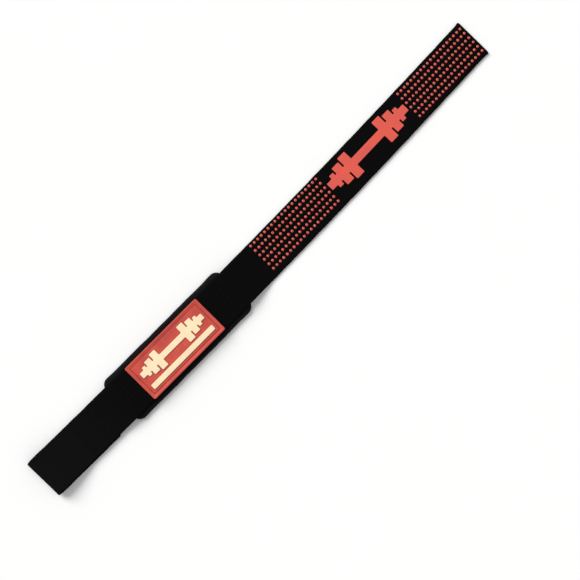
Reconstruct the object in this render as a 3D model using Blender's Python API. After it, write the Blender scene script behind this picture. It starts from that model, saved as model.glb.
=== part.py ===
"""A padded weightlifting strap, lying flat with its front face up.

One length of cotton webbing is turned under itself at one end and sewn down, which makes a flat loop for
the tail to pass through. It then runs over a neoprene wrist pad, held by a bar of thread near each end of
the pad, and on to a tail with two fields of silicone grip dots and a printed motif between them. A moulded
badge sits on the webbing over the pad.

Units are metres and +Z is up. X runs along the strap from the fold of the loop to the end of the tail, and
the origin is under the middle of the whole strap, on the surface that it lies on.
"""

import math
from collections import namedtuple

import bmesh
import bpy
from mathutils import Vector

# Clearance between pieces that touch, and the sideways bow of the strap as it lies
GAP = 0.0003
BOW = 0.0038

# Webbing
WEB_WIDTH = 0.038
WEB_THICKNESS = 0.002
WEB_EDGE = 0.0006
CUT_CORNER = 0.0012
END_FLARE = 0.0005
FLARE_LENGTH = 0.005

# Lengths along the strap, one after the other from the fold
LOOP_OPENING = 0.047
LAP_LENGTH = 0.025
NECK_LENGTH = 0.0184
PAD_LENGTH = 0.1403
TAIL_LENGTH = 0.3093

# Loop: the gap left inside the fold for the tail to pass through, how far before the seam it has closed,
# the slip between the two layers, and the seams that join them
FOLD_EYE = 0.0056
EYE_TO_SEAM = 0.004
LAYER_SLIP = 0.001
SEAM_WIDTH = 0.0016
SEAM_MARGIN = 0.003

# Neoprene pad, which stands past the webbing by PAD_RIM on each side
PAD_THICKNESS = 0.0042
PAD_RIM = 0.0045
PAD_CORNER = 0.0075
PAD_EDGE = 0.0014
RISE_LENGTH = 0.003
FALL_LENGTH = 0.032

# Bars of thread that hold the webbing to the pad
TACK_INSET = 0.0115
TACK_WIDTH = 0.0024
TACK_THREAD = 0.0005
TACK_STEM = 0.001
TACK_RAMP = 0.0032
DIP_SHARE = 0.19
SINK_SHARE = 0.19
GROOVE_FLARE = 0.0012

# Badge
BADGE_LENGTH = 0.0853
BADGE_SIDE = 0.00065
BADGE_SHIFT = -0.0042
BADGE_THICKNESS = 0.0012
BADGE_CORNER = 0.0014
RIM_WIDTH = 0.0018
RIM_RISE = 0.0003
LINE_INSET = 0.003
LINE_WIDTH = 0.0008
LINE_DEPTH = 0.0004
EMBLEM_MARGIN = 0.0022
EMBLEM_HEIGHT = 0.0006
EMBLEM_SHARE = 0.72
BAR_SHARE = 0.2

# Grip print on the tail
GRIP_START = 0.0353
GRIP_END = 0.0034
DOT_DIAMETER = 0.0025
DOT_TOP = 0.0016
DOT_HEIGHT = 0.0005
DOT_SIDES = 8
COLUMN_PITCH = 0.00433
ROW_PITCH = 0.0055
UPPER_MARGIN = 0.0032
LOWER_MARGIN = 0.0073
PRINT_DRIFT = 0.0020
MOTIF_LENGTH = 0.099
MOTIF_CLEARANCE = 0.0035
MOTIF_INSET = 0.0025
MOTIF_HEIGHT = 0.0004

# Where each tack is, and how much of the webbing's width it crosses
Tack = namedtuple("Tack", "node from_tail width_share")
TACKS = (
    Tack("loop_tack", False, 0.71),
    Tack("tail_tack", True, 0.51),
)

# Half of a barbell's outline: each row is a step, as shares of its half length and half height
Step = namedtuple("Step", "reach height")
BARBELL = (
    Step(0.36, 0.30),
    Step(0.54, 1.00),
    Step(0.575, 0.30),
    Step(0.74, 0.80),
    Step(0.775, 0.30),
    Step(0.87, 0.56),
    Step(1.00, 0.30),
)

Finish = namedtuple("Finish", "colour roughness")
FINISHES = {
    "webbing": Finish((0.0065, 0.0065, 0.0070), 0.92),
    "neoprene": Finish((0.0110, 0.0095, 0.0135), 0.85),
    "thread": Finish((0.0040, 0.0040, 0.0045), 0.70),
    "badge_red": Finish((0.610, 0.080, 0.058), 0.50),
    "badge_cream": Finish((0.910, 0.740, 0.480), 0.55),
    "grip_red": Finish((0.720, 0.095, 0.070), 0.35),
}

# Values that follow from the sizes above
SEAM = LOOP_OPENING
EYE_END = SEAM - EYE_TO_SEAM
UNDER_END = SEAM + LAP_LENGTH
PAD_START = UNDER_END + NECK_LENGTH
PAD_END = PAD_START + PAD_LENGTH
STRAP_LENGTH = PAD_END + TAIL_LENGTH
FOLD_RADIUS = (WEB_THICKNESS + FOLD_EYE) / 2
FOLD_CENTRE = FOLD_RADIUS + WEB_THICKNESS / 2
LYING = WEB_THICKNESS / 2
STACKED = LYING + WEB_THICKNESS + GAP
CARRIED = PAD_THICKNESS + GAP + WEB_THICKNESS / 2
DIP = DIP_SHARE * PAD_THICKNESS
SINK = SINK_SHARE * PAD_THICKNESS
DIP_FLAT = TACK_WIDTH / 2 + GAP
PATTERN_MIDDLE = (LOWER_MARGIN - UPPER_MARGIN) / 2
PATTERN_SPAN = WEB_WIDTH - UPPER_MARGIN - LOWER_MARGIN
RAMP_SHARES = (0.0, 0.15, 0.3, 0.5, 0.7, 0.85, 1.0)


def smooth_step(x, start, end):
    """0 before start, 1 after end, and a smooth S between them."""
    share = min(max((x - start) / (end - start), 0.0), 1.0)
    return share * share * (3 - 2 * share)


def centre_y(x):
    """Sideways place of the strap's middle line, a shallow parabola from end to end."""
    share = x / STRAP_LENGTH
    return -BOW * 4 * share * (1 - share)


def centre_turn(x):
    """Direction of the middle line at x, as an angle about Z."""
    return math.atan(-BOW * 4 * (1 - 2 * x / STRAP_LENGTH) / STRAP_LENGTH)


def tack_x(tack):
    return PAD_END - TACK_INSET if tack.from_tail else PAD_START + TACK_INSET


def dip_at(x):
    """How far the thread bars pull the webbing down into the pad at x."""
    depth = 0.0
    for tack in TACKS:
        away = abs(x - tack_x(tack))
        depth += DIP * (1 - smooth_step(away, DIP_FLAT, DIP_FLAT + TACK_RAMP))
    return depth


def upper_height(x):
    """Height of the middle of the upper layer: off the fold, on the lap, over the pad, down to lie flat."""
    off_fold = (FOLD_EYE - GAP) * (1 - smooth_step(x, FOLD_CENTRE, EYE_END))
    onto_pad = (CARRIED - STACKED) * smooth_step(x, UNDER_END, PAD_START + RISE_LENGTH)
    off_pad = (CARRIED - LYING) * smooth_step(x, PAD_END - RISE_LENGTH, PAD_END + FALL_LENGTH)
    return STACKED + off_fold + onto_pad - off_pad - dip_at(x)


def rounded_off(distance, radius):
    """How far a rounded corner has drawn in at a distance from the end it rounds."""
    left = max(radius - distance, 0.0)
    return radius - math.sqrt(radius * radius - left * left)


def ramp(start, end):
    return [start + share * (end - start) for share in RAMP_SHARES]


def tack_marks():
    """Places along the strap where the dips begin, bend and end."""
    marks = []
    for tack in TACKS:
        for side in (-1, 1):
            near = tack_x(tack) + side * DIP_FLAT
            marks += ramp(near, near + side * TACK_RAMP)[::2]
    return marks


def stations(marks, longest, shortest=0.0002):
    """Every mark in order, leaving out near doubles, with the long stretches divided evenly."""
    ordered = []
    for mark in sorted(marks):
        if not ordered or mark - ordered[-1] > shortest:
            ordered.append(mark)
    places = [ordered[0]]
    for start, end in zip(ordered, ordered[1:]):
        count = max(1, math.ceil((end - start) / longest))
        places += [start + (end - start) * k / count for k in range(1, count + 1)]
    return places


def material(slot):
    """A plain Principled surface with the colour and roughness of one finish."""
    made = bpy.data.materials.get(slot)
    if made is None:
        made = bpy.data.materials.new(slot)
        made.use_nodes = True
        shader = made.node_tree.nodes["Principled BSDF"]
        shader.inputs["Base Color"].default_value = (*FINISHES[slot].colour, 1)
        shader.inputs["Roughness"].default_value = FINISHES[slot].roughness
        shader.inputs["Metallic"].default_value = 0
        made.diffuse_color = (*FINISHES[slot].colour, 1)
    return made


def new_object(name, bm, parent, slot=None):
    """Puts a bmesh into a new object. One with no slot is a form that only adds to or cuts another."""
    bmesh.ops.recalc_face_normals(bm, faces=bm.faces)
    mesh = bpy.data.meshes.new(name)
    bm.to_mesh(mesh)
    bm.free()
    made = bpy.data.objects.new(name, mesh)
    bpy.context.scene.collection.objects.link(made)
    made.parent = parent
    if slot:
        mesh.materials.append(material(slot))
    else:
        made.hide_render = True
        made.display_type = "WIRE"
    return made


def add_loft(bm, rings):
    """A closed body through rings of equally many points, with a flat face across each end."""
    rows = [[bm.verts.new(point) for point in ring] for ring in rings]
    for near, far in zip(rows, rows[1:]):
        for i in range(len(near)):
            j = (i + 1) % len(near)
            bm.faces.new((near[i], near[j], far[j], far[i]))
    bm.faces.new(rows[0][::-1])
    bm.faces.new(rows[-1])


def add_block(bm, x, y, z):
    """A box between the two values given for each axis."""
    add_loft(bm, [[(px, y[0], z[0]), (px, y[1], z[0]), (px, y[1], z[1]), (px, y[0], z[1])] for px in x])


def combine(target, form, operation):
    """Adds a form to a piece or cuts it out."""
    change = target.modifiers.new(form.name, "BOOLEAN")
    change.operation = operation
    change.solver = "EXACT"
    change.object = form


def rounded_rectangle(length, width, corner, steps=3):
    """Points round a rectangle in plan, with each corner an arc of a few steps."""
    points = []
    for quarter, (along, across) in enumerate(((1, 1), (-1, 1), (-1, -1), (1, -1))):
        middle = Vector((along * (length / 2 - corner), across * (width / 2 - corner)))
        for k in range(steps + 1):
            angle = math.pi / 2 * (quarter + k / steps)
            points.append(middle + corner * Vector((math.cos(angle), math.sin(angle))))
    return points


def web_ring(x, height, tilt, width, slip):
    """The webbing's cross-section, a flat band with eased edges, square to the way that it runs."""
    half, edge, thick = width / 2, WEB_EDGE, WEB_THICKNESS / 2
    profile = [(-half, edge - thick), (edge - half, -thick), (half - edge, -thick), (half, edge - thick)]
    profile += [(across, -up) for across, up in reversed(profile)]
    ring = []
    for across, up in profile:
        place = (x - up * math.sin(tilt), centre_y(x) + slip + across, height + up * math.cos(tilt))
        ring.append(place)
    return ring


def end_width(distance, flare=0.0):
    """Width of the webbing at a distance from a cut end, which has rounded corners and may flare."""
    spread = flare * (1 - smooth_step(distance, CUT_CORNER, FLARE_LENGTH))
    return WEB_WIDTH + 2 * (spread - rounded_off(distance, CUT_CORNER))


def end_marks(end, inward):
    return [end + inward * share * CUT_CORNER for share in (0.0, 0.12, 0.45, 1.0)]


def under_rings():
    """The layer turned under, from its cut end back to the fold."""
    marks = [FOLD_CENTRE, *end_marks(UNDER_END, -1)]
    places = stations(marks, 0.014)[::-1]
    return [web_ring(x, LYING, math.pi, end_width(UNDER_END - x), -LAYER_SLIP) for x in places]


def fold_rings(steps=10):
    """The half turn of the fold. The slip between the layers is taken up on the way round."""
    rings = []
    for k in range(1, steps):
        angle = math.pi * k / steps
        x = FOLD_CENTRE - FOLD_RADIUS * math.sin(angle)
        height = LYING + FOLD_RADIUS * (1 - math.cos(angle))
        rings.append(web_ring(x, height, math.pi + angle, WEB_WIDTH, LAYER_SLIP * (k / steps - 1)))
    return rings


def upper_rings():
    """The upper layer from the fold, over the pad, to the end of the tail."""
    marks = [*ramp(FOLD_CENTRE, EYE_END), SEAM, *ramp(UNDER_END, PAD_START + RISE_LENGTH)]
    marks += [*tack_marks(), *ramp(PAD_END - RISE_LENGTH, PAD_END + FALL_LENGTH)]
    marks += [STRAP_LENGTH - FLARE_LENGTH, *end_marks(STRAP_LENGTH, -1)]
    rings = []
    nudge = 0.00001
    for x in stations(marks, 0.03):
        slope = (upper_height(x + nudge) - upper_height(x - nudge)) / (2 * nudge)
        width = end_width(STRAP_LENGTH - x, END_FLARE)
        rings.append(web_ring(x, upper_height(x), math.atan(slope), width, 0.0))
    return rings


def grip_fields():
    """First and last column of each field of dots, and the middle of the motif between them."""
    first = PAD_END + GRIP_START
    last = STRAP_LENGTH - GRIP_END
    middle = (first + last) / 2
    reach = MOTIF_LENGTH / 2 + MOTIF_CLEARANCE
    return (first, middle - reach), (middle + reach, last), middle


def even_places(start, end, pitch):
    """Places from start to end, both included, spaced as near to the pitch as divides evenly."""
    count = max(1, round((end - start) / pitch))
    return [start + (end - start) * k / count for k in range(count + 1)]


def add_dot(bm, x, y, z):
    """A low round dot with sloping sides, rooted in the webbing under it."""
    root = 0.3 * WEB_THICKNESS
    rings = []
    for diameter, level in ((DOT_DIAMETER, -root), (DOT_TOP, DOT_HEIGHT)):
        ring = []
        for k in range(DOT_SIDES):
            angle = 2 * math.pi * (k + 0.5) / DOT_SIDES
            ring.append((x + diameter / 2 * math.cos(angle), y + diameter / 2 * math.sin(angle), z + level))
        rings.append(ring)
    add_loft(bm, rings)


def print_middle(x):
    """Middle of the rows of dots: it drifts across the webbing from the motif's middle to the tail's end."""
    motif = grip_fields()[2]
    return PATTERN_MIDDLE - PRINT_DRIFT * max(x - motif, 0.0) / (STRAP_LENGTH - motif)


def add_dot_field(bm, start, end):
    rows = even_places(-PATTERN_SPAN / 2, PATTERN_SPAN / 2, ROW_PITCH)
    for x in even_places(start, end, COLUMN_PITCH):
        for row in rows:
            add_dot(bm, x, centre_y(x) + print_middle(x) + row, WEB_THICKNESS)


def make_webbing(parent):
    """The webbing, one closed loop and a tail, with its seams, thread holes and grip dots."""
    bm = bmesh.new()
    add_loft(bm, under_rings() + fold_rings() + upper_rings())
    webbing = new_object("webbing", bm, parent, "webbing")

    bm = bmesh.new()
    reach = WEB_WIDTH / 2 - SEAM_MARGIN
    for x in (SEAM, UNDER_END - SEAM_WIDTH - CUT_CORNER):
        middle = centre_y(x) - LAYER_SLIP / 2
        ends = (x - SEAM_WIDTH / 2, x + SEAM_WIDTH / 2)
        add_block(bm, ends, (middle - reach, middle + reach), (LYING, STACKED))
    combine(webbing, new_object("form_loop_seams", bm, parent), "UNION")

    bm = bmesh.new()
    first_field, second_field, _ = grip_fields()
    add_dot_field(bm, *first_field)
    add_dot_field(bm, *second_field)
    combine(webbing, new_object("form_grip_dots", bm, parent), "UNION")
    return webbing


def pad_ring(x):
    """The pad's cross-section, a band with rounded edges that narrows and thins towards each end."""
    from_end = min(x - PAD_START, PAD_END - x)
    half = WEB_WIDTH / 2 + PAD_RIM - rounded_off(from_end, PAD_CORNER)
    thinned = rounded_off(from_end, PAD_EDGE)
    low = thinned
    high = PAD_THICKNESS - dip_at(x) - thinned
    edge = PAD_EDGE - 0.85 * thinned
    ring = []
    for quarter, (side, level) in enumerate(((1, high), (-1, high), (-1, low), (1, low))):
        inward = -edge if level == high else edge
        for k in range(3):
            angle = math.pi / 2 * (quarter + k / 2)
            across = side * (half - edge) + edge * math.cos(angle)
            ring.append((x, centre_y(x) + across, level + inward + edge * math.sin(angle)))
    return ring


def make_pad(parent):
    marks = [*tack_marks()]
    for end, inward in ((PAD_START, 1), (PAD_END, -1)):
        marks += [end + inward * share * PAD_EDGE for share in (0.0, 0.12, 0.45, 1.0)]
        marks += [end + inward * share * PAD_CORNER for share in (0.35, 0.6, 1.0)]
    bm = bmesh.new()
    add_loft(bm, [pad_ring(x) for x in stations(marks, 0.025)])
    return new_object("neoprene_pad", bm, parent, "neoprene")


def set_on_strap(piece, x, y, z):
    """Puts a piece that was modelled about its own middle on the strap, turned with the middle line."""
    turn = centre_turn(x)
    piece.location = (x - y * math.sin(turn), centre_y(x) + y * math.cos(turn), z)
    piece.rotation_euler = (0, 0, turn)


def make_tack(tack, webbing, pad, parent):
    """A bar of thread with its top on the webbing, its foot in a groove under the pad, and a web between."""
    x = tack_x(tack)
    length = WEB_WIDTH * tack.width_share
    top_seat = PAD_THICKNESS - DIP + GAP + WEB_THICKNESS + GAP
    foot_seat = SINK + TACK_THREAD
    stem, bar = TACK_STEM / 2, TACK_WIDTH / 2
    side = [(bar, SINK), (bar, foot_seat), (stem, foot_seat), (stem, top_seat), (bar, top_seat)]
    side += [(bar, top_seat + TACK_THREAD)]
    outline = side + [(-across, up) for across, up in reversed(side)]
    bm = bmesh.new()
    add_loft(bm, [[(across, y, up) for across, up in outline] for y in (-length / 2, length / 2)])
    set_on_strap(new_object(tack.node, bm, parent, "thread"), x, 0, 0)

    hole = stem + GAP
    reach = length / 2 + GAP
    bm = bmesh.new()
    add_block(bm, (-hole, hole), (-reach, reach), (SINK, top_seat + TACK_THREAD))
    slot = new_object("form_hole_" + tack.node, bm, parent)
    set_on_strap(slot, x, 0, 0)
    combine(webbing, slot, "DIFFERENCE")
    combine(pad, slot, "DIFFERENCE")

    bm = bmesh.new()
    rings = []
    for spread, level in ((GROOVE_FLARE, -GAP), (0.0, foot_seat + GAP)):
        across = bar + GAP + spread
        along = reach + spread
        rings.append([(-across, -along, level), (across, -along, level), (across, along, level),
                      (-across, along, level)])
    add_loft(bm, rings)
    groove = new_object("form_groove_" + tack.node, bm, parent)
    set_on_strap(groove, x, 0, 0)
    combine(pad, groove, "DIFFERENCE")


def badge_seat():
    return PAD_THICKNESS + GAP + WEB_THICKNESS + GAP


def badge_x():
    return (PAD_START + PAD_END) / 2 + BADGE_SHIFT


def badge_width():
    return WEB_WIDTH - 2 * BADGE_SIDE


def make_badge(parent):
    """A plate with a raised rim and a sunk line inside it, as rings of one rounded rectangle."""
    top = BADGE_THICKNESS
    line_end = LINE_INSET + LINE_WIDTH
    profile = ((0.0, 0.0), (0.0, top), (RIM_RISE, top + RIM_RISE), (RIM_WIDTH - RIM_RISE, top + RIM_RISE),
               (RIM_WIDTH, top), (LINE_INSET, top), (LINE_INSET, top - LINE_DEPTH),
               (line_end, top - LINE_DEPTH), (line_end, top))
    rings = []
    for inset, level in profile:
        corner = max(BADGE_CORNER - inset, 0.3 * BADGE_CORNER)
        plan = rounded_rectangle(BADGE_LENGTH - 2 * inset, badge_width() - 2 * inset, corner)
        rings.append([(point.x, point.y, level) for point in plan])
    bm = bmesh.new()
    add_loft(bm, rings)
    set_on_strap(new_object("badge_plate", bm, parent, "badge_red"), badge_x(), 0, badge_seat())


def barbell_outline(length, height):
    """A stepped outline, the same on both sides of each middle line."""
    quarter = []
    inner = 0.0
    for step in BARBELL:
        level = step.height * height / 2
        quarter += [(inner * length / 2, level), (step.reach * length / 2, level)]
        inner = step.reach
    quarter = quarter[1:]
    upper = quarter + [(x, -y) for x, y in reversed(quarter)]
    return upper + [(-x, -y) for x, y in upper]


def add_plate(bm, outline, thickness):
    add_loft(bm, [[(x, y, level) for x, y in outline] for level in (0.0, thickness)])


def make_badge_emblem(parent):
    """The raised barbell and the plain bar under it, which share the field inside the sunk line."""
    inset = LINE_INSET + LINE_WIDTH + EMBLEM_MARGIN
    length = BADGE_LENGTH - 2 * inset
    height = badge_width() - 2 * inset
    seat = badge_seat() + BADGE_THICKNESS + GAP
    barbell = height * EMBLEM_SHARE
    bar = height * BAR_SHARE
    shapes = (
        ("badge_barbell", barbell_outline(length, barbell), (height - barbell) / 2),
        ("badge_bar", [(p.x, p.y) for p in rounded_rectangle(length, bar, bar * 0.2, 2)], (bar - height) / 2),
    )
    for node, outline, across in shapes:
        bm = bmesh.new()
        add_plate(bm, outline, EMBLEM_HEIGHT)
        set_on_strap(new_object(node, bm, parent, "badge_cream"), badge_x(), across, seat)


def make_grip_motif(parent):
    """The barbell printed between the two fields of dots, a little lower than they are wide."""
    height = PATTERN_SPAN + DOT_DIAMETER - 2 * MOTIF_INSET
    bm = bmesh.new()
    add_plate(bm, barbell_outline(MOTIF_LENGTH, height), MOTIF_HEIGHT)
    motif = new_object("grip_motif", bm, parent, "grip_red")
    set_on_strap(motif, grip_fields()[2], PATTERN_MIDDLE, WEB_THICKNESS + GAP)


def centre_on_origin(strap):
    """Moves the whole strap so that the middle of its box is over the origin."""
    bpy.context.view_layer.update()
    shown = [piece for piece in strap.children if not piece.hide_render]
    corners = [piece.matrix_world @ Vector(corner) for piece in shown for corner in piece.bound_box]
    for axis in (0, 1):
        values = [corner[axis] for corner in corners]
        strap.location[axis] = -(min(values) + max(values)) / 2
    bpy.context.view_layer.update()


def main():
    for old in list(bpy.data.objects):
        bpy.data.objects.remove(old)
    strap = bpy.data.objects.new("strap", None)
    bpy.context.scene.collection.objects.link(strap)
    webbing = make_webbing(strap)
    pad = make_pad(strap)
    for tack in TACKS:
        make_tack(tack, webbing, pad, strap)
    make_badge(strap)
    make_badge_emblem(strap)
    make_grip_motif(strap)
    centre_on_origin(strap)


main()
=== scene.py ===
"""The looks of a padded lifting strap that lies flat on a pale floor with its front face up.

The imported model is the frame. X runs along the strap from the fold of its loop to the end of its tail, and
distances along the strap are measured from the fold. Units are metres.
"""

import math

import bmesh
import bpy
import numpy as np
from mathutils import Matrix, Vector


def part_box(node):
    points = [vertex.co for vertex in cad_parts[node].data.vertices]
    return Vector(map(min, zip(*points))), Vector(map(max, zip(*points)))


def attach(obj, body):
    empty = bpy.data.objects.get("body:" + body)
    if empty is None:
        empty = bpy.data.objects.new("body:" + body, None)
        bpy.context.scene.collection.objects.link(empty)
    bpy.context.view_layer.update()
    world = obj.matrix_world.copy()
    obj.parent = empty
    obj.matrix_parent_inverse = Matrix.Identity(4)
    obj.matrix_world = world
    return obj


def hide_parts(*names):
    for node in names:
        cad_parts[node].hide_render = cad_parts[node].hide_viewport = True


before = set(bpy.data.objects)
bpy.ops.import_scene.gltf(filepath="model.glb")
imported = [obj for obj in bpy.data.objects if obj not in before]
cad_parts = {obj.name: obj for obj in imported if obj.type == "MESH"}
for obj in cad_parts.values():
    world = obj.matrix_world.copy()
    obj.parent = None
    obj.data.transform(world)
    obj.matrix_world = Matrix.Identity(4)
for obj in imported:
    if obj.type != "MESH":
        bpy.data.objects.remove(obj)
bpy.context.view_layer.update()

# Sizes of the strap that the frame is built from
GAP = 0.0003
BOW = 0.0038
WEB_WIDTH = 0.038
WEB_THICKNESS = 0.002
CUT_CORNER = 0.0012
END_FLARE = 0.0005
FLARE_LENGTH = 0.005
SEAM = 0.047
UNDER_END = 0.072
PAD_START = 0.0904
PAD_END = 0.2307
STRAP_LENGTH = 0.54
FOLD_EYE = 0.0056
EYE_END = 0.043
LAYER_SLIP = 0.001
PAD_THICKNESS = 0.0042
PAD_RIM = 0.0045
PAD_CORNER = 0.0075
RISE_LENGTH = 0.003
FALL_LENGTH = 0.032
BADGE_MIDDLE = 0.15635
BADGE_LENGTH = 0.0853
BADGE_WIDTH = 0.0367
BADGE_THICKNESS = 0.0012
BADGE_CORNER = 0.0014
LINE_INSET = 0.003
LINE_WIDTH = 0.0008
TACK_WIDTH = 0.0024
TACK_RAMP = 0.0032
DIP = 0.0008
SINK = 0.0008
PATTERN_MIDDLE = 0.00205
PATTERN_SPAN = 0.0275
MOTIF_MIDDLE = 0.4013
MOTIF_LENGTH = 0.099
MOTIF_HEIGHT = 0.025
PRINT_DRIFT = 0.002
MOTIF_CLEARANCE = 0.0035
FIELD_START = 0.0353
FIELD_END = 0.0034
DOT_ROWS = 6
DOT_COLUMNS = 20
EMBLEM_MARGIN = 0.0022
EMBLEM_SHARE = 0.72
BAR_SHARE = 0.2

# How the tail buckles where it lies on the floor
BUCKLE_START = 0.03
BUCKLE_HEIGHT = 0.00016
BUCKLE_LENGTH = 0.11

# Each thread bar: its place along the strap and how far it reaches across
TACKS = {"loop_tack": (0.1019, 0.027), "tail_tack": (0.2192, 0.0194)}

# What follows from them
LYING = WEB_THICKNESS / 2
STACKED = LYING + WEB_THICKNESS + GAP
CARRIED = PAD_THICKNESS + GAP + WEB_THICKNESS / 2
FOLD_RADIUS = (WEB_THICKNESS + FOLD_EYE) / 2
FOLD_MIDDLE = FOLD_RADIUS + WEB_THICKNESS / 2


def smooth_step(x, start, end):
    """0 before start, 1 after end, and 3s^2 - 2s^3 of the share s between them."""
    share = np.clip((x - start) / (end - start), 0, 1)
    return share * share * (3 - 2 * share)


def hump(x, middle, reach):
    """A bell: e to the minus square of the distance from the middle over the reach."""
    return np.exp(-(((x - middle) / reach) ** 2))


def uneven(x, longest, seed):
    """A smooth irregular wave between about -1 and 1: four sines of unlike lengths, added and shared out."""
    total = 0
    for k, share in enumerate((1.0, 0.62, 0.41, 0.27)):
        total = total + np.sin(2 * math.pi * x / (longest * share) + seed * (1.7 + k * 2.3)) * (1 - 0.18 * k)
    return total / 2.6


def bow(x):
    """Sideways place of the strap's middle line: a parabola that is zero at both ends."""
    share = x / STRAP_LENGTH
    return -BOW * 4 * share * (1 - share)


def drawn_in(distance, radius):
    """How far a rounded corner has drawn in at a distance from the end that it rounds."""
    left = np.maximum(radius - distance, 0)
    return radius - np.sqrt(np.maximum(radius * radius - left * left, 0))


ORIGIN_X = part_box("webbing")[0].x
ORIGIN_Y = sum(corner.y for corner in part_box("badge_plate")) / 2 - float(bow(BADGE_MIDDLE))


def in_frame(x, across, up):
    """Points of the frame, from the distance along the strap, across it and up from the floor."""
    return np.stack(np.broadcast_arrays(x + ORIGIN_X, bow(x) + across + ORIGIN_Y, up), axis=-1)


def dip(x, across):
    """How far the thread bars pull the webbing down: a flat-bottomed trough, as long as the bar is."""
    depth = 0
    for place, length in TACKS.values():
        along = 1 - smooth_step(np.abs(x - place), TACK_WIDTH / 2, TACK_WIDTH / 2 + TACK_RAMP)
        sides = 1 - 0.75 * smooth_step(np.abs(across), length / 2 - 0.002, length / 2 + 0.005)
        depth = depth + DIP * along * sides
    return depth


def layer_height(x, across):
    """Height of the upper layer's middle: off the fold, on the lap, over the pad and down to the floor.

    Each rise is a smooth step. The tail buckles by a small irregular wave, which starts with the floor.
    """
    off_fold = (FOLD_EYE - GAP) * (1 - smooth_step(x, FOLD_MIDDLE, EYE_END))
    onto_pad = (CARRIED - STACKED) * smooth_step(x, UNDER_END, PAD_START + RISE_LENGTH)
    off_pad = (CARRIED - LYING) * smooth_step(x, PAD_END - RISE_LENGTH, PAD_END + FALL_LENGTH)
    tail = smooth_step(x, PAD_END + FALL_LENGTH, PAD_END + FALL_LENGTH + BUCKLE_START)
    buckle = tail * BUCKLE_HEIGHT * (1 + uneven(x + across * 0.3, BUCKLE_LENGTH, 1.3))
    return STACKED + off_fold + onto_pad - off_pad - dip(x, across) + buckle


def face_height(x, across):
    """Height of the webbing's front face."""
    return layer_height(x, across) + WEB_THICKNESS / 2


# Making meshes and materials


def put_in_mesh(name, points, faces, finish, crease=180, uv=None):
    """A mesh object at the origin, with faces turned outwards and edges sharper than the crease kept crisp.

    The crease is in degrees, and uv gives one pair for each point.
    """
    mesh = bpy.data.meshes.new(name)
    mesh.from_pydata(np.reshape(points, (-1, 3)).tolist(), [], faces)
    if uv is not None:
        corners = np.empty(len(mesh.loops), np.int32)
        mesh.loops.foreach_get("vertex_index", corners)
        layer = mesh.uv_layers.new(name="cloth")
        layer.data.foreach_set("uv", np.reshape(uv, (-1, 2))[corners].astype(np.float32).ravel())
    work = bmesh.new()
    work.from_mesh(mesh)
    bmesh.ops.recalc_face_normals(work, faces=work.faces)
    work.to_mesh(mesh)
    work.free()
    mesh.shade_smooth()
    mesh.set_sharp_from_angle(angle=math.radians(crease))
    mesh.materials.append(finish)
    piece = bpy.data.objects.new(name, mesh)
    bpy.context.scene.collection.objects.link(piece)
    return piece


def ring_faces(rings, around, strands=1):
    """Faces of tubes: a quad between each two rings and one face across each end."""
    counts = (strands, rings - 1, around)
    strand, ring, spot = np.meshgrid(*[np.arange(count) for count in counts], indexing="ij")
    base = (strand * rings + ring) * around
    after = (spot + 1) % around
    quads = np.stack([base + spot, base + after, base + around + after, base + around + spot], axis=-1)
    first = np.arange(strands)[:, None] * rings * around + np.arange(around)[::-1]
    last = np.arange(strands)[:, None] * rings * around + (rings - 1) * around + np.arange(around)
    return quads.reshape(-1, 4).tolist() + first.tolist() + last.tolist()


def thread(name, lines, radius, finish, sides=7):
    """Round threads along lines, an array of strands by points by 3. Each ring lies square to its line."""
    lines = np.asarray(lines, float)
    along = np.gradient(lines, axis=1)
    along /= np.linalg.norm(along, axis=2, keepdims=True)
    side = np.cross(along, (0.21, 0.13, 0.97))
    side /= np.linalg.norm(side, axis=2, keepdims=True)
    up = np.cross(side, along)
    angle = np.linspace(0, 2 * math.pi, sides, endpoint=False)
    ends = np.ones(lines.shape[1])
    ends[[0, -1]] = 0.55
    spread = radius * ends[None, :, None, None]
    cosine, sine = (turned[None, None, :, None] for turned in (np.cos(angle), np.sin(angle)))
    rings = lines[:, :, None] + spread * (side[:, :, None] * cosine + up[:, :, None] * sine)
    faces = ring_faces(lines.shape[1], sides, len(lines))
    turn = np.broadcast_to(np.arange(sides) / sides, rings.shape[:3])
    run = np.linalg.norm(np.diff(lines, axis=1, prepend=lines[:, :1]), axis=2).cumsum(axis=1)
    uv = np.stack([np.broadcast_to(run[:, :, None], rings.shape[:3]), turn * 2 * math.pi * radius], axis=-1)
    return put_in_mesh(name, rings, faces, finish, uv=uv)


def rounded(outline, radius, steps=6):
    """A closed outline with each corner an arc of the circle that touches both of its sides."""
    outline = np.asarray(outline, float)
    before, after = np.roll(outline, 1, axis=0) - outline, np.roll(outline, -1, axis=0) - outline
    room = np.minimum(np.linalg.norm(before, axis=1), np.linalg.norm(after, axis=1)) / 2
    before /= np.linalg.norm(before, axis=1, keepdims=True)
    after /= np.linalg.norm(after, axis=1, keepdims=True)
    half = np.arccos(np.clip((before * after).sum(axis=1), -1, 1)) / 2
    reach = np.minimum(radius / np.tan(half), room * 0.98)
    bisector = (before + after) / np.linalg.norm(before + after, axis=1, keepdims=True)
    centre = outline + bisector * (reach / np.cos(half))[:, None]
    start, end = outline + before * reach[:, None] - centre, outline + after * reach[:, None] - centre
    sweep = (math.pi - 2 * half)[:, None, None]
    share = np.linspace(0, 1, steps)[None, :, None]
    arc = np.sin((1 - share) * sweep) * start[:, None] + np.sin(share * sweep) * end[:, None]
    return (centre[:, None] + arc / np.sin(sweep)).reshape(-1, 2)


def shrunk(outline, inset):
    """The outline moved inwards: each point goes along the mean of its two sides' normals."""
    along = np.roll(outline, -1, axis=0) - np.roll(outline, 1, axis=0)
    along /= np.linalg.norm(along, axis=1, keepdims=True)
    return outline + inset * np.stack([-along[:, 1], along[:, 0]], axis=1)


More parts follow.
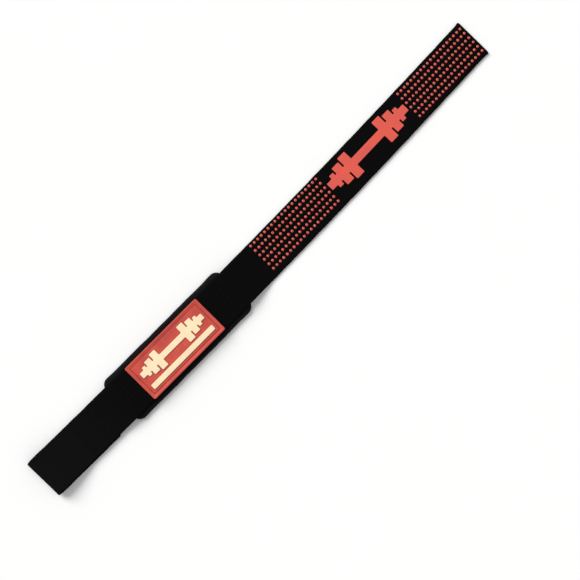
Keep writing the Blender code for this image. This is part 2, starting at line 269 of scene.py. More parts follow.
def divided(outline, longest):
    """The outline with its long sides divided evenly, so that a plate can bend."""
    after = np.roll(outline, -1, axis=0)
    counts = np.maximum(1, np.ceil(np.linalg.norm(after - outline, axis=1) / longest)).astype(int)
    starts = np.repeat(np.arange(len(outline)), counts)
    share = (np.arange(len(starts)) - np.repeat(np.cumsum(counts) - counts, counts)) / counts[starts]
    return outline[starts] + share[:, None] * (after - outline)[starts]


def socket_value(node, **values):
    for key, value in values.items():
        node.inputs[key.replace("_", " ")].default_value = value


class Wiring:
    """A short way to write node trees: each call adds a node and returns its first output."""

    def __init__(self, tree):
        self.tree = tree

    def join(self, value, socket):
        if isinstance(value, bpy.types.NodeSocket):
            self.tree.links.new(value, socket)
        else:
            socket.default_value = value

    def node(self, kind, *values, **settings):
        made = self.tree.nodes.new(kind)
        for key, value in settings.items():
            setattr(made, key, value)
        for value, socket in zip(values, made.inputs):
            if value is not None:
                self.join(value, socket)
        return made

    def math(self, operation, *values):
        return self.node("ShaderNodeMath", *values, operation=operation).outputs[0]

    def noise(self, vector, scale, detail=3.0, roughness=0.55):
        made = self.node("ShaderNodeTexNoise")
        self.join(vector, made.inputs["Vector"])
        self.join(scale, made.inputs["Scale"])
        self.join(detail, made.inputs["Detail"])
        self.join(roughness, made.inputs["Roughness"])
        return made.outputs["Fac"]

    def spread(self, value, low, high, to_low=0.0, to_high=1.0):
        return self.node("ShaderNodeMapRange", value, low, high, to_low, to_high).outputs[0]

    def blend(self, share, first, second, kind="MIX"):
        made = self.node("ShaderNodeMix", data_type="RGBA", blend_type=kind)
        colours = [socket for socket in made.inputs if socket.type == "RGBA"]
        self.join(share, made.inputs[0])
        for value, socket in zip((first, second), colours):
            self.join(value, socket)
        return next(socket for socket in made.outputs if socket.type == "RGBA")

    def bump(self, height, distance, strength=1.0, normal=None):
        made = self.node("ShaderNodeBump")
        self.join(strength, made.inputs["Strength"])
        self.join(distance, made.inputs["Distance"])
        self.join(height, made.inputs["Height"])
        if normal is not None:
            self.join(normal, made.inputs["Normal"])
        return made.outputs[0]


def new_group(name, inputs, outputs):
    """A shader group with number inputs, each with its start value, one Vector input and number outputs."""
    tree = bpy.data.node_groups.new(name, "ShaderNodeTree")
    tree.interface.new_socket("Vector", in_out="INPUT", socket_type="NodeSocketVector")
    for label, value in inputs.items():
        made = tree.interface.new_socket(label, in_out="INPUT", socket_type="NodeSocketFloat")
        made.default_value = value
    for label in outputs:
        tree.interface.new_socket(label, in_out="OUTPUT", socket_type="NodeSocketFloat")
    return tree, Wiring(tree), tree.nodes.new("NodeGroupInput"), tree.nodes.new("NodeGroupOutput")


def make_weave_group():
    """Plain weave of thick yarn. Each column of yarn rises and falls along the cloth, in turn with the next.

    Height is the root of |sin| across a column times |sin| along it, shifted half a step on every other one.
    Hollow is 1 in the pits between the yarns. Fibre is a fine streak along the yarns.
    """
    tree, wire, given, put = new_group(
        "woven_yarn", {"Across pitch": 0.001, "Along pitch": 0.0013}, ("Height", "Hollow", "Fibre")
    )
    parts = wire.node("ShaderNodeSeparateXYZ", given.outputs["Vector"])
    wobble = wire.math("MULTIPLY", wire.noise(given.outputs["Vector"], 160.0, 2.0), 0.5)
    column = wire.math("ADD", wire.math("DIVIDE", parts.outputs[1], given.outputs["Across pitch"]), wobble)
    number = wire.math("FLOOR", wire.math("ADD", column, 400.0))
    odd = wire.math("MULTIPLY", wire.math("MODULO", number, 2.0), 0.5)
    run = wire.math("DIVIDE", parts.outputs[0], given.outputs["Along pitch"])
    run = wire.math("ADD", wire.math("ADD", run, odd), wobble)
    across = wire.math("ABSOLUTE", wire.math("SINE", wire.math("MULTIPLY", column, math.pi)))
    along = wire.math("ABSOLUTE", wire.math("SINE", wire.math("MULTIPLY", run, math.pi)))
    rise = wire.math("MULTIPLY", wire.math("POWER", across, 0.6), wire.spread(along, 0.0, 1.0, 0.35, 1.0))
    stretched = wire.node("ShaderNodeMapping", given.outputs["Vector"])
    stretched.inputs["Scale"].default_value = (0.25, 1.0, 1.0)
    fibre = wire.noise(stretched.outputs[0], 9000.0, 2.0, 0.7)
    wire.join(wire.math("ADD", rise, wire.math("MULTIPLY", fibre, 0.22)), put.inputs["Height"])
    wire.join(wire.spread(rise, 0.62, 0.15), put.inputs["Hollow"])
    wire.join(fibre, put.inputs["Fibre"])
    return tree


def make_grain_group():
    """Fine irregular grain: Height is two sizes of noise added, and Patch is a broad soft mottle."""
    sizes = {"Size": 0.0005, "Patch size": 0.02}
    tree, wire, given, put = new_group("fine_grain", sizes, ("Height", "Patch"))
    scale = wire.math("DIVIDE", 1.0, given.outputs["Size"])
    coarse = wire.noise(given.outputs["Vector"], scale, 2.0)
    fine = wire.noise(given.outputs["Vector"], wire.math("MULTIPLY", scale, 3.3), 2.0)
    wire.join(wire.math("ADD", coarse, wire.math("MULTIPLY", fine, 0.4)), put.inputs["Height"])
    broad = wire.noise(given.outputs["Vector"], wire.math("DIVIDE", 1.0, given.outputs["Patch size"]), 4.0)
    wire.join(wire.spread(broad, 0.3, 0.7), put.inputs["Patch"])
    return tree


WEAVE = make_weave_group()
GRAIN = make_grain_group()


def new_finish(name, **sockets):
    """A material with a Principled surface whose plain values are set on its own sockets."""
    made = bpy.data.materials.new(name)
    made.use_nodes = True
    shader = made.node_tree.nodes["Principled BSDF"]
    socket_value(shader, **sockets)
    return made, shader, Wiring(made.node_tree)


def add_group(wire, tree, vector, **values):
    made = wire.node("ShaderNodeGroup", node_tree=tree)
    wire.join(vector, made.inputs["Vector"])
    socket_value(made, **values)
    return made.outputs


def cloth_place(wire):
    return wire.node("ShaderNodeUVMap", uv_map="cloth").outputs[0]


def object_place(wire):
    return wire.node("ShaderNodeTexCoord").outputs["Object"]


def black_webbing():
    """Matt black cotton webbing: dull raised yarns, deep pits between them darkened by painted shade, and a
    little pale fluff.

    Towards the loop the colour is a little paler.
    """
    made, shader, wire = new_finish("black_webbing", Specular_IOR_Level=0.03)
    place = cloth_place(wire)
    weave = add_group(wire, WEAVE, place)
    mottle = add_group(wire, GRAIN, place, Size=0.004, Patch_size=0.03)
    painted_pit_shade, plain, fluff = (0.0010, 0.0010, 0.0011, 1), (0.0036, 0.0035, 0.0037, 1), (0.0095, 0.0094, 0.0096, 1)
    run = wire.node("ShaderNodeSeparateXYZ", place).outputs[0]
    loop = wire.spread(run, 0.11, 0.17, 1.0, 0.0)
    loop_paleness = wire.math("MULTIPLY", loop, wire.spread(mottle["Patch"], 0, 1, 0.6, 1.0))
    plain = wire.blend(loop_paleness, plain, (0.0078, 0.0077, 0.0079, 1))
    colour = wire.blend(wire.spread(weave["Fibre"], 0.52, 0.8, 0.0, 0.8), plain, fluff)
    colour = wire.blend(wire.spread(mottle["Patch"], 0.0, 1.0, 0.0, 0.3), colour, (0.0028, 0.0027, 0.0029, 1))
    # Painted shade: the pits between the yarns are coloured darker.
    colour = wire.blend(weave["Hollow"], colour, painted_pit_shade)
    wire.join(colour, shader.inputs["Base Color"])
    wire.join(wire.spread(weave["Fibre"], 0.3, 0.7, 0.78, 0.98), shader.inputs["Roughness"])
    wire.join(wire.bump(weave["Height"], 0.00022), shader.inputs["Normal"])
    return made


def black_neoprene():
    """Black foam rubber with a fine knitted face, matt black above and very slightly violet underneath, with
    painted shade in the pits of the knit.
    """
    made, shader, wire = new_finish("black_neoprene", Specular_IOR_Level=0.1)
    place = cloth_place(wire)
    knit = add_group(wire, WEAVE, place, Across_pitch=0.00052, Along_pitch=0.0007)
    mottle = add_group(wire, GRAIN, place, Size=0.0025, Patch_size=0.025)
    height = wire.node("ShaderNodeSeparateXYZ", object_place(wire)).outputs[2]
    under = wire.blend(mottle["Patch"], (0.0075, 0.0066, 0.0100, 1), (0.0098, 0.0086, 0.0128, 1))
    above = wire.blend(mottle["Patch"], (0.0034, 0.0033, 0.0036, 1), (0.0048, 0.0046, 0.0051, 1))
    colour = wire.blend(wire.spread(height, PAD_THICKNESS * 0.25, PAD_THICKNESS * 0.55), under, above)
    # Painted shade: the pits of the knit are coloured darker.
    colour = wire.blend(wire.spread(knit["Hollow"], 0.0, 1.0, 0.0, 0.5), colour, (0.004, 0.0035, 0.005, 1))
    wire.join(colour, shader.inputs["Base Color"])
    wire.join(wire.spread(mottle["Height"], 0.4, 1.0, 0.62, 0.85), shader.inputs["Roughness"])
    soft = wire.bump(mottle["Height"], 0.00012)
    wire.join(wire.bump(knit["Height"], 0.00006, normal=soft), shader.inputs["Normal"])
    return made


def black_thread():
    """Bonded black thread: two plies that wind round each other, with painted shade in the grooves between
    them and a slight sheen.
    """
    made, shader, wire = new_finish("black_thread", Specular_IOR_Level=0.07)
    place = cloth_place(wire)
    ply = wire.node("ShaderNodeTexWave", place, wave_type="BANDS", bands_direction="DIAGONAL")
    ply.inputs["Scale"].default_value = 900.0
    # Painted shade: the grooves between the plies are coloured darker.
    colour = wire.blend(ply.outputs["Fac"], (0.0012, 0.0012, 0.0013, 1), (0.0046, 0.0045, 0.0048, 1))
    wire.join(colour, shader.inputs["Base Color"])
    wire.join(wire.spread(ply.outputs["Fac"], 0.0, 1.0, 0.6, 0.42), shader.inputs["Roughness"])
    wire.join(wire.bump(ply.outputs["Fac"], 0.00008), shader.inputs["Normal"])
    return made


def moulded_rubber(name, pale, deep, roughness, specular, grain=0.00045, relief=0.00002, painted_foot_shade=None):
    """Satin rubber of one colour with a soft mottle, a fine skin and a little unevenness in its gloss.

    painted_foot_shade gives a darker colour at the foot of the piece, as painted shade where it stands on the
    surface below, and the heights between which it fades out.
    """
    made, shader, wire = new_finish(name, Specular_IOR_Level=specular)
    place = object_place(wire)
    skin = add_group(wire, GRAIN, place, Size=grain, Patch_size=0.012)
    colour = wire.blend(skin["Patch"], (*deep, 1), (*pale, 1))
    # Painted shade: the piece is coloured darker towards its foot.
    if painted_foot_shade:
        height = wire.node("ShaderNodeSeparateXYZ", place).outputs[2]
        colour = wire.blend(wire.spread(height, painted_foot_shade[1], painted_foot_shade[2]), (*painted_foot_shade[0], 1), colour)
    wire.join(colour, shader.inputs["Base Color"])
    low, high = roughness
    wire.join(wire.spread(skin["Height"], 0.4, 1.0, low, high), shader.inputs["Roughness"])
    wire.join(wire.bump(skin["Height"], relief), shader.inputs["Normal"])
    return made


def pale_floor():
    """A plain white matt floor."""
    made, shader, wire = new_finish("pale_floor", Specular_IOR_Level=0.1, Roughness=0.9)
    drift = wire.noise(object_place(wire), 3.0, 2.0)
    wire.join(wire.blend(drift, (0.90, 0.90, 0.895, 1), (0.915, 0.915, 0.91, 1)), shader.inputs["Base Color"])
    return made


# Camera, light and floor

CAMERA_TURN = math.radians(-45.682)
CAMERA_TILT = math.radians(4.650)
CAMERA_LEAN = math.radians(-5.846)
CAMERA_DISTANCE = 1.3
CAMERA_AIM = (-0.00736, -0.03593)
CAMERA_LENS = 92.893
SUN_STRENGTH = 3.0
SUN_BREADTH = math.radians(36)
SUN_HEIGHT = math.radians(38)
SUN_ASIDE = -0.12
ROOM_STRENGTH = 0.52
FLOOR_REACH = 4.0
FLOOR_LEVEL = -0.0001


def placed(right, up, back, place):
    """The matrix of an object that looks against back, with its other two directions and its place."""
    return Matrix([[right[k], up[k], back[k], place[k]] for k in range(3)] + [[0, 0, 0, 1]])


def make_camera():
    """A camera almost straight above, turned so that the strap runs up to the right.

    It is tilted towards the top of the picture and leant to its left.
    """
    right = np.array([math.cos(CAMERA_TURN), math.sin(CAMERA_TURN), 0])
    top = np.array([-math.sin(CAMERA_TURN), math.cos(CAMERA_TURN), 0])
    back = math.cos(CAMERA_TILT) * np.array([0, 0, 1]) - math.sin(CAMERA_TILT) * top
    back = math.cos(CAMERA_LEAN) * back + math.sin(CAMERA_LEAN) * right
    right = right - back * np.dot(right, back)
    right /= np.linalg.norm(right)
    up = np.cross(back, right)
    data = bpy.data.cameras.new("camera")
    data.lens = CAMERA_LENS
    data.sensor_width = 36
    data.clip_start = 0.01
    data.clip_end = 50
    camera = bpy.data.objects.new("camera", data)
    place = np.array([*CAMERA_AIM, 0]) + CAMERA_DISTANCE * back
    camera.matrix_world = placed(right, up, back, place)
    bpy.context.scene.collection.objects.link(camera)
    bpy.context.scene.camera = camera


def make_studio():
    """One broad soft light from beyond the strap's upper edge, a white world and the floor."""
    data = bpy.data.lights.new("window_light", "SUN")
    data.energy = SUN_STRENGTH
    data.angle = SUN_BREADTH
    light = bpy.data.objects.new("window_light", data)
    back = np.array([SUN_ASIDE, math.cos(SUN_HEIGHT), math.sin(SUN_HEIGHT)])
    back /= np.linalg.norm(back)
    side = np.cross((0, 0, 1), back)
    side /= np.linalg.norm(side)
    light.matrix_world = placed(side, np.cross(back, side), back, back * 2)
    bpy.context.scene.collection.objects.link(light)
    world = bpy.data.worlds.new("white_room")
    world.use_nodes = True
    sky = world.node_tree.nodes["Background"]
    sky.inputs["Color"].default_value = (1, 1, 1, 1)
    sky.inputs["Strength"].default_value = ROOM_STRENGTH
    bpy.context.scene.world = world
    bpy.context.scene.view_settings.view_transform = "Standard"
    sides = ((-1, -1), (1, -1), (1, 1), (-1, 1))
    corners = [(x * FLOOR_REACH, y * FLOOR_REACH, FLOOR_LEVEL) for x, y in sides]
    floor = put_in_mesh("floor", corners, [(0, 1, 2, 3)], pale_floor())


# The webbing

STEP_ALONG = 0.00055
FLAT_SPOTS = 26
EDGE_SPOTS = 7
EDGE_REACH = 0.0009
STITCH_PITCH = 0.0031
SEAM_ROWS = (0.0462, 0.0492)
SEAM_PRESS = 0.00028
ZIGZAG_START = 0.0655
ZIGZAG_END = 0.0700
ZIGZAG_PRESS = 0.00022


def web_profile():
    """Once round the cross-section: shares of the flat width, the rounded edge and half the thickness."""
    flat = np.linspace(-1, 1, FLAT_SPOTS)
    angle = np.linspace(math.pi / 2, -math.pi / 2, EDGE_SPOTS)[1:-1]
    nothing = np.zeros(FLAT_SPOTS)
    core = np.concatenate([flat, np.ones(len(angle)), flat[::-1], -np.ones(len(angle))])
    edge = np.concatenate([nothing, np.cos(angle), nothing, -np.cos(angle)])
    up = np.concatenate([nothing + 1, np.sin(angle), nothing - 1, -np.sin(angle)])
    return core, edge, up


def web_path():
    """Stations along the whole length.

    They are the distances from the fold on the layer turned under, the angles of half a circle round the
    fold, and the distances on the upper layer.
    """
    under = np.arange(UNDER_END, FOLD_MIDDLE, -STEP_ALONG)
    turn = np.linspace(0, math.pi, int(math.pi * FOLD_RADIUS / STEP_ALONG))[1:-1]
    upper = np.linspace(FOLD_MIDDLE, STRAP_LENGTH, int((STRAP_LENGTH - FOLD_MIDDLE) / STEP_ALONG))
    return under, turn, upper


def seam_press(x, across, up):
    """How far the sewing presses the faces in.

    Each row of stitches is a bell-shaped trough, deeper at each needle hole by a cosine across the webbing.
    The zigzag is a flat band with smooth sides.
    """
    inside = 1 - smooth_step(np.abs(across), WEB_WIDTH / 2 - 0.0035, WEB_WIDTH / 2 - 0.0015)
    needle = 0.75 + 0.25 * np.cos(2 * math.pi * across / STITCH_PITCH)
    trough = sum(hump(x, row, 0.0009) for row in SEAM_ROWS) * SEAM_PRESS * needle
    fade = 0.001
    sewn = smooth_step(x, ZIGZAG_START - fade, ZIGZAG_START) - smooth_step(x, ZIGZAG_END, ZIGZAG_END + fade)
    return (trough + ZIGZAG_PRESS * sewn) * inside * up


def make_webbing(finish):
    """One closed surface: the cross-section carried along the path and turned with it.

    The width wanders a little, the selvedges are finely scalloped, the cut ends are pinched and the tail's
    corners flare. The UV map holds the distance along the cloth and across it.
    """
    under, turn, upper = web_path()
    core, edge, up = web_profile()
    none = np.zeros(len(under))
    x = np.concatenate([under, FOLD_MIDDLE - FOLD_RADIUS * np.sin(turn), upper])[:, None]
    slip = np.concatenate([none - LAYER_SLIP, LAYER_SLIP * (turn / math.pi - 1), upper * 0])[:, None]
    nudge = 1e-5
    from_start, from_end = UNDER_END - under, STRAP_LENGTH - upper
    before_end = np.concatenate([from_start, turn * 0 + 1, from_end])[:, None]
    is_tail = np.concatenate([none, turn * 0, upper * 0 + 1])[:, None]
    steps = [under * 0 + STEP_ALONG, turn * 0 + STEP_ALONG, np.diff(upper, prepend=upper[0])]
    run = np.concatenate(steps).cumsum()[:, None]

    half = WEB_WIDTH / 2 - drawn_in(before_end, CUT_CORNER)
    half = half + is_tail * END_FLARE * (1 - smooth_step(before_end, CUT_CORNER, FLARE_LENGTH))
    side = np.sign(core)[None]
    scallop = 0.00005 * np.sin(2 * math.pi * run / 0.0026 + side)
    half = half + 0.00013 * uneven(run + side * 0.21, 0.034, 2.0) + scallop - 0.0001
    across = core * (half - EDGE_REACH) + edge * EDGE_REACH
    pinch = 1 - 0.38 * (1 - smooth_step(before_end, 0.0, 0.0011)) ** 2
    lift = up * WEB_THICKNESS / 2 * pinch

    flat_part = np.broadcast_to(LYING, (len(under), len(core)))
    round_part = np.broadcast_to((LYING + FOLD_RADIUS * (1 - np.cos(turn)))[:, None], (len(turn), len(core)))
    top_part = layer_height(upper[:, None], across[-len(upper):])
    slope = (layer_height(upper[:, None] + nudge, 0) - layer_height(upper[:, None] - nudge, 0)) / (2 * nudge)
    height = np.concatenate([flat_part, round_part, top_part])
    tilt = np.concatenate([none + math.pi, math.pi + turn, np.arctan(slope[:, 0]) + 2 * math.pi])[:, None]
    pressed = seam_press(x, across, np.maximum(up, 0) * (before_end < 0.9))
    lift = lift - pressed * (np.abs(x) > FOLD_MIDDLE)
    points = in_frame(x - lift * np.sin(tilt), slip + across, height + lift * np.cos(tilt))
    uv = np.stack(np.broadcast_arrays(run, across), axis=-1)
    webbing = put_in_mesh("strap_webbing", points, ring_faces(len(x), len(core)), finish, uv=uv)
    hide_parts("webbing")
    return webbing


# The pad

PAD_EDGE = 0.0019
GROOVE_DEPTH = 0.0013
GROOVE_REACH = 0.0013
PULL_DEPTH = 0.00022
PULL_REACH = 0.006


def make_pad(finish):
    """A flat foam pad with round edges: a cross-section that narrows and thins in one curve at each end.

    The top is pulled down at each thread bar and a rounded groove runs across the underside there.
    """
    edge = PAD_EDGE
    ends = PAD_CORNER * (1 - np.cos(np.linspace(0, math.pi / 2, 34)))
    middle = np.linspace(PAD_START + PAD_CORNER, PAD_END - PAD_CORNER, 250)[1:-1]
    x = np.concatenate([PAD_START + ends, middle, (PAD_END - ends)[::-1]])[:, None]
    from_end = np.minimum(x - PAD_START, PAD_END - x)
    thick = 1 - drawn_in(from_end, edge) / edge
    half = WEB_WIDTH / 2 + PAD_RIM - drawn_in(from_end, PAD_CORNER) - 0.0002 * (1 + uneven(x, 0.05, 4.0))
    flat = np.linspace(-1, 1, 72)
    angle = np.linspace(math.pi / 2, -math.pi / 2, 13)[1:-1]
    nothing = np.zeros(len(flat))
    core = np.concatenate([flat, np.ones(len(angle)), flat[::-1], -np.ones(len(angle))])
    bend = np.concatenate([nothing, np.cos(angle), nothing, -np.cos(angle)])
    up = np.concatenate([nothing + 1, np.sin(angle), nothing - 1, -np.sin(angle)])
    across = core * (half - edge) + bend * edge
    rim = smooth_step(np.abs(across), WEB_WIDTH / 2 - 0.001, WEB_WIDTH / 2 + 0.0015)
    top = PAD_THICKNESS - dip(x, across) - 0.00012 * (1 - rim)
    groove = 0
    for place, length in TACKS.values():
        bowed = place + 0.0006 * np.cos(across / length * math.pi)
        sides = 1 - smooth_step(np.abs(across), length / 2 - 0.0004, length / 2 + 0.0014)
        deep, pulled = GROOVE_DEPTH * hump(x, bowed, GROOVE_REACH), PULL_DEPTH * hump(x, bowed, PULL_REACH)
        groove = groove + deep * sides + pulled * sides
    middle_height = PAD_THICKNESS / 2
    level = middle_height + np.where(up > 0, top - middle_height, middle_height - groove) * up * thick
    points = in_frame(x, across, level)
    round_run = np.concatenate([[0], np.hypot(np.diff(across[40]), np.diff(level[40])).cumsum()])
    uv = np.stack(np.broadcast_arrays(x, round_run[None]), axis=-1)
    pad = put_in_mesh("wrist_pad", points, ring_faces(len(x), len(core)), finish, uv=uv)
    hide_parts("neoprene_pad")
    return pad


# Thread

TACK_THREAD = 0.00021
TACK_PITCH = 0.00042
SEAM_THREAD = 0.0002
ZIGZAG_THREAD = 0.00021
ZIGZAG_PITCH = 0.0011
BADGE_THREAD = 0.00019
BADGE_STITCH = 0.0024


def make_tack(node, finish):
    """A dense zigzag of thread on the webbing and the same in the groove underneath, over straight runs.

    The swing is a sine across the webbing with its tops cut flat, and the thread arches between them.
    """
    place, length = TACKS[node]
    reach = TACK_WIDTH / 2 - 0.0002
    half_length = length / 2 - 0.0004
    across = np.linspace(-half_length, half_length, int(2 * half_length / TACK_PITCH) * 8)
    phase = (across + half_length) / TACK_PITCH * math.pi / 2
    swing = reach * np.clip(np.sin(phase) * 1.35, -1, 1)
    arch = 0.00022 * np.sqrt(np.maximum(1 - (swing / reach) ** 2, 0))
    top = PAD_THICKNESS - DIP + GAP + WEB_THICKNESS + TACK_THREAD * 0.6
    lines = [in_frame(place + swing, across, top + arch)]
    lines.append(in_frame(place + swing, across, SINK + 0.00035 - arch))
    for side in (-0.4, 0.4):
        lines.append(in_frame(place + side * reach + across * 0, across, top + 0.00008 + across * 0))
    tack = thread(node + "_thread", np.stack(lines), TACK_THREAD, finish)
    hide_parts(node)
    return tack


def make_seams(finish):
    """Rows of straight stitches through both layers, seen on the front and underneath.

    Each stitch is a shallow arch: it leaves one needle hole, runs along the face and enters the next.
    """
    share = np.linspace(0, 1, 9)
    arch = np.sqrt(np.maximum(1 - (2 * share - 1) ** 2, 0))
    count = int((WEB_WIDTH - 0.006) / STITCH_PITCH)
    starts = (np.arange(count) - count / 2) * STITCH_PITCH
    lines = []
    for row in SEAM_ROWS:
        for start in starts:
            across = start + STITCH_PITCH * (0.06 + 0.88 * share)
            sway = 0.00012 * (2 * share - 1)
            top = face_height(row, across) - 0.00036 + 0.00034 * arch
            lines.append(in_frame(row + sway, across, top))
            lines.append(in_frame(row + sway, across - LAYER_SLIP, 0.00045 - 0.0002 * arch))
    return thread("loop_seam_stitches", np.stack(lines), SEAM_THREAD, finish)


def make_zigzag(finish):
    """A wide zigzag over the end of the layer that is turned under, seen on both faces: a triangle wave."""
    reach = (ZIGZAG_END - ZIGZAG_START) / 2
    middle = (ZIGZAG_END + ZIGZAG_START) / 2
    half = WEB_WIDTH / 2 - 0.0028
    across = np.linspace(-half, half, 900)
    swing = reach * 0.92 * 2 / math.pi * np.arcsin(np.sin(across / ZIGZAG_PITCH * math.pi) * 0.995)
    top = face_height(middle + swing, across) - 0.0002
    lines = [in_frame(middle + swing, across, top), in_frame(middle + swing, across - LAYER_SLIP, 0.00034)]
    return thread("turned_end_zigzag", np.stack(lines), ZIGZAG_THREAD, finish)


# Print on the tail

DOT_RADIUS = 0.00128
DOT_HEIGHT = 0.0005


def dot_places():
    """Middles of the grip dots: even rows across, and two fields of even columns along.

    From the motif's middle on, the rows drift across in proportion to the distance.
    """
    rows = np.linspace(-PATTERN_SPAN / 2, PATTERN_SPAN / 2, DOT_ROWS) + PATTERN_MIDDLE
    reach = MOTIF_LENGTH / 2 + MOTIF_CLEARANCE
    first, last = PAD_END + FIELD_START, STRAP_LENGTH - FIELD_END
    middle = (first + last) / 2
    fields = ((first, middle - reach), (middle + reach, last))
    columns = np.concatenate([np.linspace(*field, DOT_COLUMNS) for field in fields])
    along, across = np.meshgrid(columns, rows, indexing="ij")
    drift = PRINT_DRIFT * np.maximum(along - middle, 0) / (STRAP_LENGTH - middle)
    return along.ravel(), (across - drift).ravel()


def make_grip_dots(finish):
    """Low silicone domes, turned from one profile, each a little unlike the next in size and place."""
    draw = np.random.default_rng(7)
    x, across = dot_places()
    count = len(x)
    x = x + draw.normal(0, 0.00005, count)
    across = across + draw.normal(0, 0.00005, count)
    size = DOT_RADIUS * (1 + draw.normal(0, 0.03, count))
    tall = DOT_HEIGHT * (1 + draw.normal(0, 0.07, count))
    angle = np.linspace(0, 2 * math.pi, 14, endpoint=False)
    ring = np.array([1.04, 1.0, 0.93, 0.78, 0.52, 0.2])
    level = np.array([-0.6, 0.1, 0.42, 0.75, 0.95, 1.0])
    along = x[:, None, None] + size[:, None, None] * ring[None, :, None] * np.cos(angle)
    side = across[:, None, None] + size[:, None, None] * ring[None, :, None] * np.sin(angle)
    up = face_height(x, across)[:, None, None] + tall[:, None, None] * level[None, :, None]
    points = in_frame(along, side, up)
    return put_in_mesh("grip_dots", points, ring_faces(len(ring), len(angle), count), finish)


# Half of a barbell's outline: the reach and height of each step, as shares of its half length and half height
BARBELL = ((0.36, 0.30), (0.54, 1.00), (0.575, 0.30), (0.74, 0.80), (0.775, 0.30), (0.87, 0.56), (1.00, 0.30))


def barbell(length, height):
    """A barbell from the side: steps of reach and height, the same on both sides of each middle line."""
    reach = np.repeat([0.0] + [step[0] for step in BARBELL], 2)[1:-1] * length / 2
    level = np.repeat([step[1] for step in BARBELL], 2) * height / 2
    quarter = np.stack([reach, level], axis=1)[1:]
    upper = np.concatenate([quarter, quarter[::-1] * (1, -1)])
    outline = np.concatenate([upper, -upper])
    return outline[::-1]


def plate(name, ring, x, across, seat, profile, finish):
    """A plate on the strap: a ring for each inset and level of the profile, turned with the strap's bow.

    ring gives the outline at an inset, and always equally many points.
    """
    turn = math.atan(-BOW * 4 * (1 - 2 * x / STRAP_LENGTH) / STRAP_LENGTH)
    rings = []
    for inset, level in profile:
        plan = ring(inset)
        along = x + plan[:, 0] * math.cos(turn) - (plan[:, 1] + across) * math.sin(turn)
        side = plan[:, 0] * math.sin(turn) + (plan[:, 1] + across) * math.cos(turn)
        side = float(bow(x)) - bow(along) + side
        rings.append(in_frame(along, side, seat(along, side) + level))
    return put_in_mesh(name, np.stack(rings), ring_faces(len(profile), rings[0].shape[0]), finish, crease=22)


def make_grip_motif(finish):
    """The barbell printed between the fields of dots: a thin skin of silicone with soft edges."""
    outline = divided(rounded(barbell(MOTIF_LENGTH, MOTIF_HEIGHT), 0.0007), 0.003)
    profile = ((0, -0.0004), (0, 0.00022), (0.00008, 0.00036), (0.00022, 0.00042))

    def ring(inset):
        return shrunk(outline, inset)

    motif = plate("printed_barbell", ring, MOTIF_MIDDLE, PATTERN_MIDDLE, face_height, profile, finish)
    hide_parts("grip_motif")
    return motif


# The badge


def rectangle(length, width, corner, bends=8, spots=16):
    """A rectangle with round corners: four quarter circles joined by evenly divided straight sides."""
    quarter = np.linspace(0, math.pi / 2, bends)
    share = np.linspace(0, 1, spots)[1:-1, None]
    corners = []
    for k, (along, across) in enumerate(((1, 1), (-1, 1), (-1, -1), (1, -1))):
        angle = quarter + k * math.pi / 2
        middle = np.array([along * (length / 2 - corner), across * (width / 2 - corner)])
        corners.append(middle + corner * np.stack([np.cos(angle), np.sin(angle)], axis=1))
    parts = []
    for here, after in zip(corners, corners[1:] + corners[:1]):
        parts += [here, here[-1] + share * (after[0] - here[-1])]
    return np.concatenate(parts)


def badge_seat(along, side):
    """Height of the webbing's front face under the badge, which is flat, plus the gap to it."""
    return PAD_THICKNESS + GAP + WEB_THICKNESS + GAP + along * 0


def make_badge(finish, thread_finish):
    """A moulded plate with a soft raised rim and a sunk stitched line: one outline stacked by a profile.

    The stitches lie in the line, each a shallow half circle between two even places of its run.
    """
    top = BADGE_THICKNESS

    def ring(inset):
        return rectangle(BADGE_LENGTH - 2 * inset, BADGE_WIDTH - 2 * inset, max(BADGE_CORNER - inset, 0.0003))

    low = top - 0.0003
    groove = LINE_INSET + LINE_WIDTH
    profile = (
        (0.00005, 0.0), (0.0, 0.0003), (0.0, top - 0.0002), (0.00008, top + 0.0001), (0.00025, top + 0.00026),
        (0.0005, top + 0.0003), (0.0013, top + 0.0003), (0.0016, top + 0.00022), (0.0019, top + 0.00005),
        (0.0022, top), (LINE_INSET - 0.0002, top), (LINE_INSET, top - 0.0001), (LINE_INSET + 0.00015, low),
        (groove - 0.00015, low), (groove, top - 0.0001), (groove + 0.0002, top), (groove + 0.0012, top),
    )
    badge = plate("badge_shell", ring, BADGE_MIDDLE, 0, badge_seat, profile, finish)
    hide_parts("badge_plate")

    path = divided(ring(LINE_INSET + LINE_WIDTH / 2), 0.0002)
    run = np.linalg.norm(np.diff(path, axis=0, append=path[:1]), axis=1).cumsum()
    count = round(run[-1] / BADGE_STITCH)
    share = np.linspace(0.08, 0.92, 9)
    at = (np.arange(count)[:, None] + share[None]) * run[-1] / count
    closed = np.concatenate([path, path[:1]])
    steps = np.concatenate([[0], run])
    across, along = np.interp(at, steps, closed[:, 1]), np.interp(at, steps, closed[:, 0])
    arch = np.sqrt(np.maximum(1 - (2 * share - 1) ** 2, 0))
    turn = math.atan(-BOW * 4 * (1 - 2 * BADGE_MIDDLE / STRAP_LENGTH) / STRAP_LENGTH)
    x = BADGE_MIDDLE + along * math.cos(turn) - across * math.sin(turn)
    side = float(bow(BADGE_MIDDLE)) - bow(x) + along * math.sin(turn) + across * math.cos(turn)
    up = badge_seat(x, side) + low - 0.0001 + 0.00022 * arch
    stitches = thread("badge_stitches", in_frame(x, side, up), BADGE_THREAD, thread_finish, sides=6)
    return badge, stitches


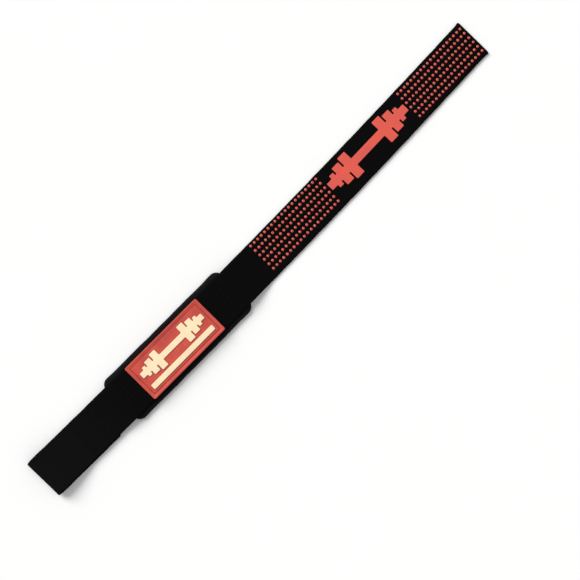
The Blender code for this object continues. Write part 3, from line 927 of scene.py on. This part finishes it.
def make_emblem(finish):
    """The cream barbell and the plain bar below it, moulded plates with rounded edges and a thin skirt."""
    inset = LINE_INSET + LINE_WIDTH + EMBLEM_MARGIN
    length, height = BADGE_LENGTH - 2 * inset, BADGE_WIDTH - 2 * inset
    tall, low = height * EMBLEM_SHARE, height * BAR_SHARE

    def seat(along, side):
        return badge_seat(along, side) + BADGE_THICKNESS

    def barbell_ring(inset):
        return shrunk(shape, inset)

    def bar_ring(inset):
        return rectangle(length - 2 * inset, low - 2 * inset, low * 0.2 - inset)

    profile = (
        (-0.0003, -0.0002), (-0.0003, 0.00003), (0, 0.00006), (0, 0.00042), (0.00006, 0.00062),
        (0.00018, 0.00074), (0.0004, 0.0008), (0.0006, 0.0008),
    )
    shape = divided(rounded(barbell(length, tall), 0.0007), 0.004)
    emblem = plate("cream_barbell", barbell_ring, BADGE_MIDDLE, (height - tall) / 2, seat, profile, finish)
    bar = plate("cream_bar", bar_ring, BADGE_MIDDLE, (low - height) / 2, seat, profile, finish)
    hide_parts("badge_barbell")
    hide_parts("badge_bar")
    return emblem, bar


def main():
    make_camera()
    make_studio()
    webbing = black_webbing()
    sewing = black_thread()
    badge_red = moulded_rubber("badge_red", (0.62, 0.084, 0.052), (0.47, 0.056, 0.046), (0.42, 0.6), 0.3)
    line_red = moulded_rubber("line_red", (0.40, 0.032, 0.032), (0.31, 0.022, 0.026), (0.5, 0.7), 0.2)
    foot = float(badge_seat(0, 0)) + BADGE_THICKNESS
    # Painted shade at the foot of the cream emblem, where it meets the badge.
    painted_foot_shade = ((0.15, 0.028, 0.022), foot + 0.00008, foot + 0.0004)
    pale, deep = (0.93, 0.77, 0.50), (0.90, 0.66, 0.44)
    cream = moulded_rubber("badge_cream", pale, deep, (0.45, 0.65), 0.25, painted_foot_shade=painted_foot_shade)
    pale, deep = (0.74, 0.098, 0.058), (0.64, 0.090, 0.074)
    print_red = moulded_rubber("print_red", pale, deep, (0.34, 0.5), 0.35, 0.0007)
    dot_red = moulded_rubber("dot_red", (0.62, 0.086, 0.062), (0.52, 0.066, 0.052), (0.2, 0.3), 0.65, 0.0007)
    badge, stitches = make_badge(badge_red, line_red)
    emblem, bar = make_emblem(cream)
    slots = {
        make_webbing(webbing): "webbing",
        make_pad(black_neoprene()): "neoprene",
        make_tack("loop_tack", sewing): "thread",
        make_tack("tail_tack", sewing): "thread",
        make_seams(sewing): "thread",
        make_zigzag(sewing): "thread",
        make_grip_dots(dot_red): "grip_red",
        make_grip_motif(print_red): "grip_red",
        badge: "badge_red",
        stitches: "badge_red",
        emblem: "badge_cream",
        bar: "badge_cream",
    }
    for piece, slot in slots.items():
        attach(piece, "root")


main()
